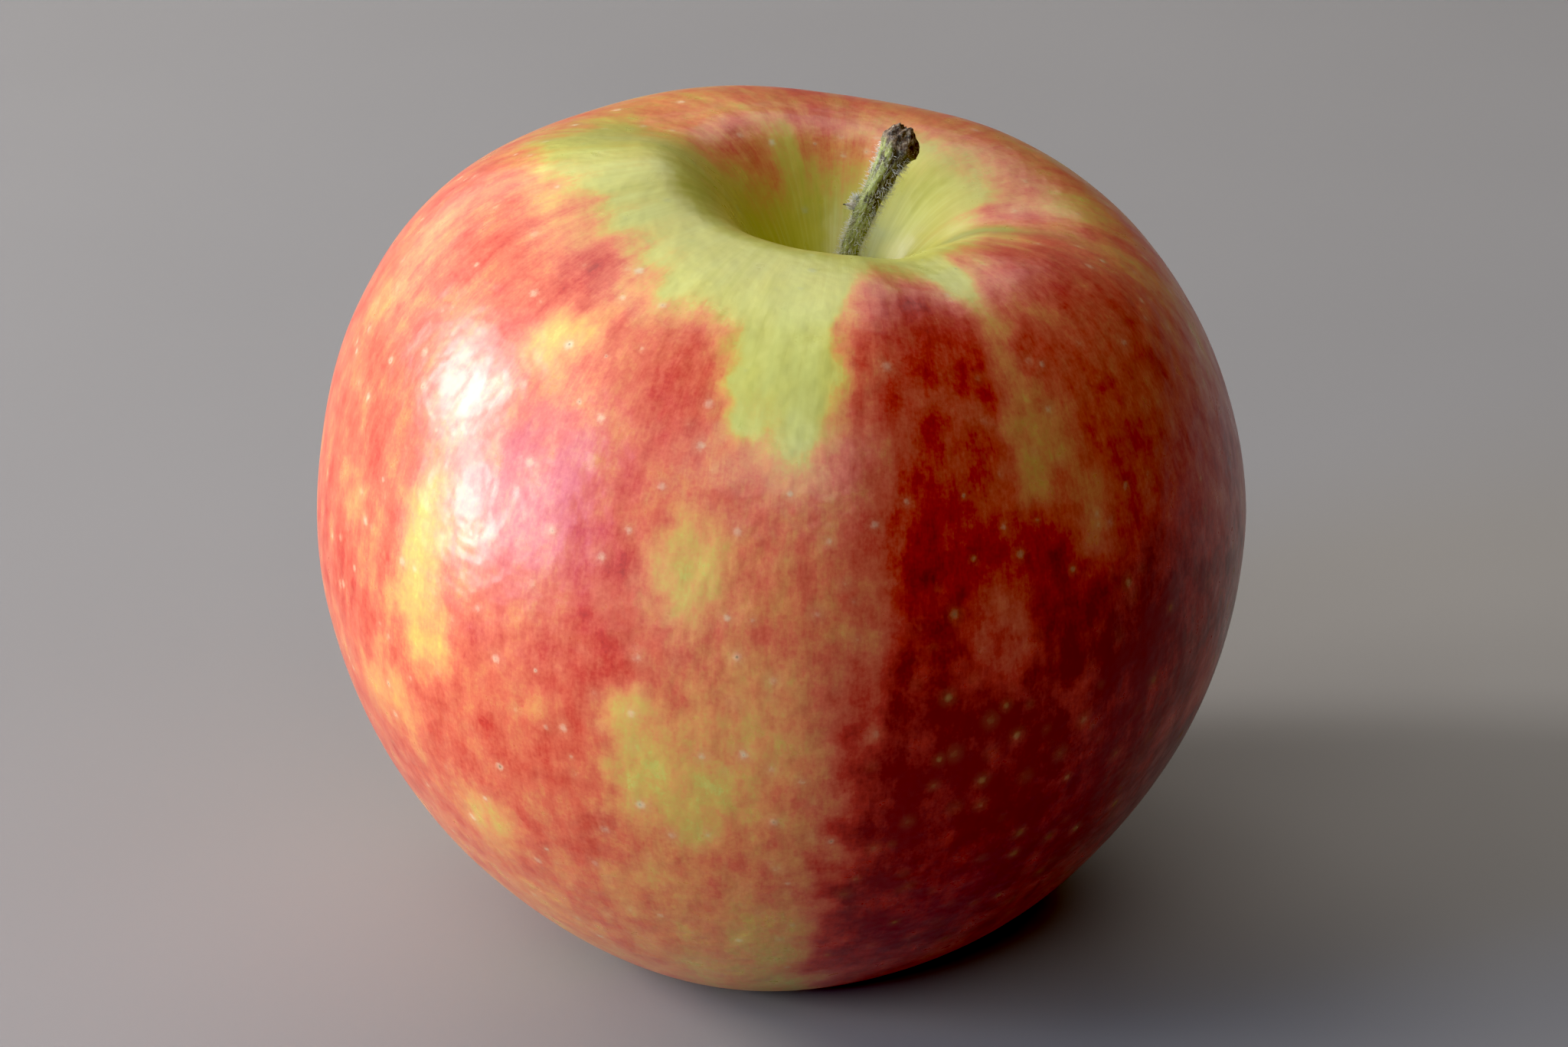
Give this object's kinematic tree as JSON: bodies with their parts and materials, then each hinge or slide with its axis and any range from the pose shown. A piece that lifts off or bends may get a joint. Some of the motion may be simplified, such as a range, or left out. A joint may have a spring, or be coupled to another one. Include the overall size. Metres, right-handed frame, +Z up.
{
  "type": "apple",
  "caption": "A whole fresh apple standing on its base: a softly lobed round fruit with a deep stem cavity, a short leaning stem and a dried calyx in the basin underneath.",
  "frame": {"origin": "on the surface the apple stands on, under the middle of the fruit across X and Y", "axes": "+Z up along the fruit's axis from calyx to stem, +X towards the side the stem leans to, -Y out of the face that shows the long yellow tongue in the blush"},
  "size_m": [0.082, 0.082, 0.0755],
  "materials": {
    "skin": "waxy skin, yellow-green ground with a red blush and pale lenticels",
    "stem_bark": "rough olive-brown bark with fine pale hairs",
    "dried_bract": "dry and matte",
    "dried_sepal": "dry, matte and felted",
    "dried_stamen": "dry and matte"
  },
  "bodies": {
    "root": {"fruit": "skin", "stem": "stem_bark", "stem_bract": "dried_bract", "sepal_1": "dried_sepal", "sepal_2": "dried_sepal", "sepal_3": "dried_sepal", "sepal_4": "dried_sepal", "sepal_5": "dried_sepal", "stamen_1": "dried_stamen", "stamen_2": "dried_stamen", "stamen_3": "dried_stamen", "stamen_4": "dried_stamen", "stamen_5": "dried_stamen", "stamen_6": "dried_stamen", "stamen_7": "dried_stamen", "stamen_8": "dried_stamen", "stamen_9": "dried_stamen", "stamen_10": "dried_stamen"}
  },
  "joints": []
}
